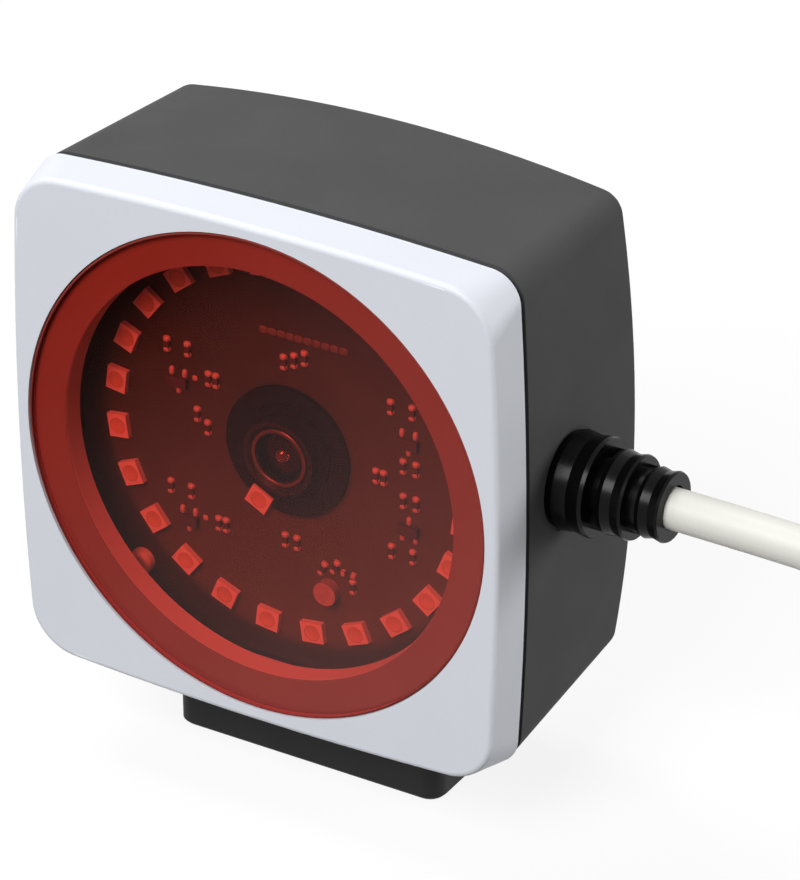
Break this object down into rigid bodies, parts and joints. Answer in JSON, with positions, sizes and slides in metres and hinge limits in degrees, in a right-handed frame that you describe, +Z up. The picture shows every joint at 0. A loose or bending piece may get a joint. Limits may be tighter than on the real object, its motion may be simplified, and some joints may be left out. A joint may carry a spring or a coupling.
{
  "type": "optical reading head",
  "caption": "Square camera reading head with a round red window over a ring of lamps, a white bezel, a black bowed housing on a bolted foot, and a lead with a round screw connector.",
  "frame": {"origin": "middle of the foot's underside", "axes": "+Z up, the window faces -Y, the lead leaves towards +X"},
  "size_m": [0.2459, 0.0502, 0.082],
  "materials": {
    "white_plastic": "moulded, satin, light grey white",
    "red_pane": "clear red filter pane, polished",
    "grey_tape": "thin grey double-sided tape",
    "black_rubber": "matt foam rubber",
    "black_plastic": "moulded, fine satin texture",
    "foot_plastic": "moulded, satin",
    "steel": "zinc plated",
    "brass": "turned",
    "circuit_board": "solder mask over glass laminate",
    "lamp_package": "white lamp package with a clear filled cup",
    "aiming_lamp": "white lamp package",
    "chip_black": "moulded chip package",
    "capacitor_can": "drawn can",
    "black_header": "moulded pin strip",
    "sensor_glass": "chip under a cover glass",
    "lens_black": "matt black to stop stray light",
    "lens_glass": "coated optical glass",
    "black_gloss": "flexible moulded plastic with a soft gloss",
    "wire_jacket": "thin wire insulation",
    "plug_white": "moulded nylon",
    "cable_jacket": "off-white lead jacket",
    "tie_plastic": "nylon strap",
    "connector_black": "overmoulded grip",
    "gold_contact": "gold plated",
    "nickel": "nickel plated brass nut"
  },
  "bodies": {
    "head": {"front_bezel": "white_plastic", "window": "red_pane", "window_seal": "grey_tape", "housing_gasket": "black_rubber", "rear_housing": "black_plastic", "case_screws": "steel", "mounting_foot": "foot_plastic", "foot_screws": "steel", "foot_inserts": "brass", "lamp_board": "circuit_board", "ring_lamps": "lamp_package", "aiming_lamp": "aiming_lamp", "chip_resistors": "chip_black", "driver_transistors": "chip_black", "smoothing_capacitor": "capacitor_can", "board_screws": "steel", "board_standoffs": "brass", "main_board": "circuit_board", "board_header": "black_header", "image_sensor": "sensor_glass", "processor_chip": "chip_black", "memory_chip": "chip_black", "lens_holder": "lens_black", "holder_screws": "steel", "lens_barrel": "lens_black", "front_lens": "lens_glass", "rear_lens": "lens_glass", "lens_shroud": "lens_black", "bend_relief": "black_gloss", "relief_nut": "steel", "lead_wires": "wire_jacket", "lead_plug": "plug_white", "lead_socket": "plug_white", "cable_lead": "cable_jacket", "cable_hank": "cable_jacket", "cable_tie": "tie_plastic", "cable_tail": "cable_jacket", "connector_body": "connector_black", "contact_carrier": "connector_black", "connector_contacts": "gold_contact", "connector_seal": "black_rubber"},
    "coupling_nut": {"coupling_nut": "nickel"}
  },
  "joints": [
    {"name": "coupling_nut_turn", "type": "hinge", "parent": "head", "child": "coupling_nut", "pos_m": [0.17338, -0.00069, 0.0075], "axis": [0.9881, 0.1537, 0], "continuous": true}
  ]
}
